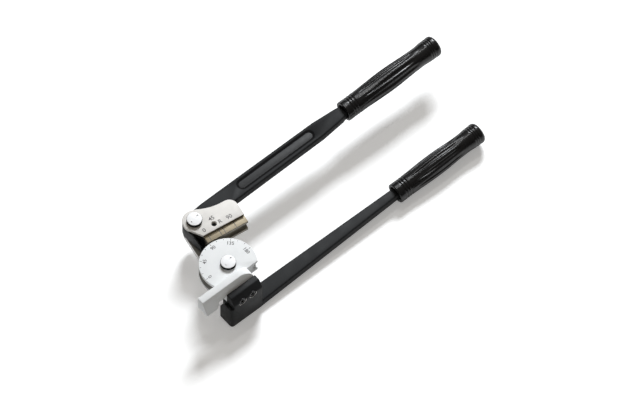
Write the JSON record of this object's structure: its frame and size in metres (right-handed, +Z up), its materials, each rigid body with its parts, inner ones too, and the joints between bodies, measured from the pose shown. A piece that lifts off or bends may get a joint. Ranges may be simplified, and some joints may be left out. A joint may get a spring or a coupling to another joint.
{
  "type": "lever tube bender",
  "caption": "Lever tube bender with a grooved form wheel and hook on a fixed handle, and a swinging lever that carries a grooved shoe.",
  "frame": {"origin": "middle of the rest face under the fixed handle's block", "axes": "+X along the fixed handle towards its grip, +Y across to the lever, +Z up from the rest face and along the wheel's axis"},
  "size_m": [0.484, 0.1494, 0.0715],
  "materials": {
    "satin_casting": "bead-blasted satin",
    "cover_metal": "satin",
    "link_steel": "satin",
    "bright_steel": "bright turned",
    "dark_steel": "black oxide",
    "shoe_bronze": "machined bronze",
    "bronze": "sintered bronze",
    "black_paint": "satin black powder coat",
    "grip_plastic": "glossy moulded black"
  },
  "bodies": {
    "base": {"form_wheel": "satin_casting", "wheel_pin": "bright_steel", "wheel_washer": "dark_steel", "wheel_nut_washer": "bright_steel", "wheel_nut": "bright_steel", "lower_handle": "black_paint", "arm_screws": "dark_steel", "arm_dowels": "bright_steel", "lower_grip": "grip_plastic"},
    "link": {"link_plate": "link_steel", "wheel_bush": "bronze", "shoe_bush": "bronze"},
    "lever": {"upper_handle": "black_paint", "shoe_block": "shoe_bronze", "shoe_plate": "cover_metal", "shoe_screw": "dark_steel", "shoe_dowels": "bright_steel", "plate_screws": "dark_steel", "shoe_pin": "bright_steel", "shoe_washer": "dark_steel", "shoe_nut_washer": "bright_steel", "shoe_nut": "bright_steel", "upper_grip": "grip_plastic"}
  },
  "joints": [
    {"name": "bend_sweep", "type": "hinge", "parent": "base", "child": "link", "pos_m": [0.01, 0.038, 0.0324], "axis": [0, 0, 1], "range_deg": [-82, 98]},
    {"name": "lever_lift", "type": "hinge", "parent": "link", "child": "lever", "pos_m": [0.016, 0.113, 0.0324], "axis": [0, 0, 1], "range_deg": [0, 95]}
  ]
}
